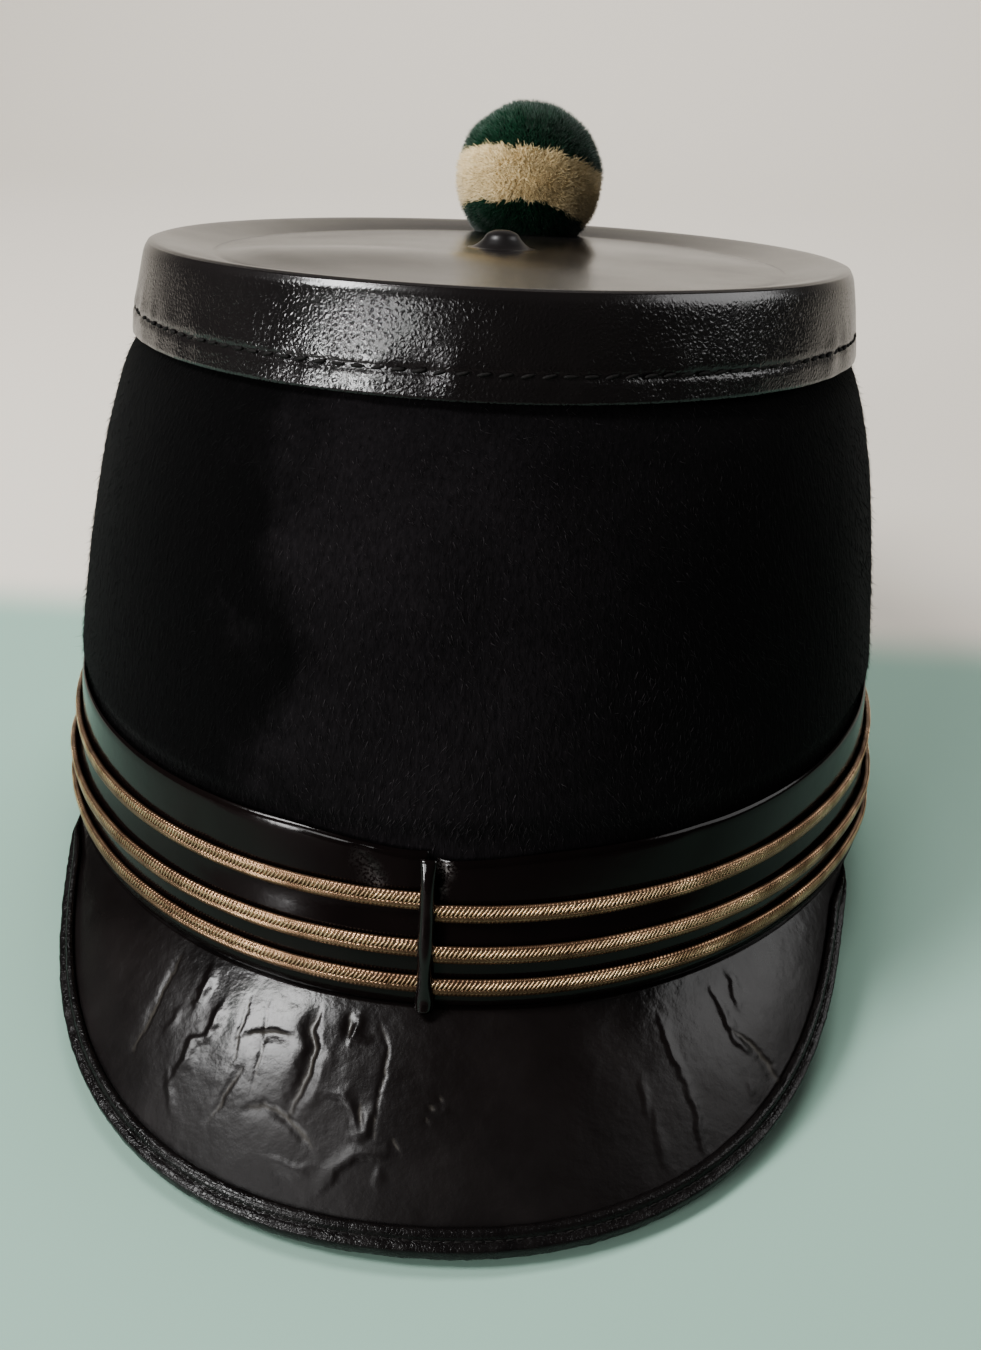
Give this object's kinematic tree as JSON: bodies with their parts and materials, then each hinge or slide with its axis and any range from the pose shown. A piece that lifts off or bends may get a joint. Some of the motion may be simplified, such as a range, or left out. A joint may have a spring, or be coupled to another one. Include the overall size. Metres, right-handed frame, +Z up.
{
  "type": "shako",
  "caption": "Tapered felt military dress hat with a moulded leather crown cap, patent leather base band, gold braids, bound leather peak and a two-colour wool pompom.",
  "frame": {"origin": "under the middle of the whole hat, on the surface that it stands on", "axes": "+Z up, -Y towards the tip of the peak, +X to the right of someone who looks at the peak"},
  "size_m": [0.1714, 0.2324, 0.1343],
  "materials": {
    "felt": "dark short-haired fur felt",
    "crown_leather": "satin pebbled black leather",
    "patent_leather": "glossy black patent leather",
    "gold_braid": "antique gold metal-thread braid",
    "peak_leather": "glossy black leather with old cracks",
    "binding_leather": "satin black leather edging",
    "green_wool": "trimmed dark green wool",
    "cream_wool": "trimmed cream wool",
    "pin_steel": "plain steel"
  },
  "bodies": {
    "root": {"felt_body": "felt", "crown_cap": "crown_leather", "base_band": "patent_leather", "gold_braid_upper": "gold_braid", "gold_braid_middle": "gold_braid", "gold_braid_lower": "gold_braid", "keeper": "patent_leather", "peak": "peak_leather", "peak_binding": "binding_leather", "pompom_green": "green_wool", "pompom_cream": "cream_wool", "pompom_pin": "pin_steel"}
  },
  "joints": []
}
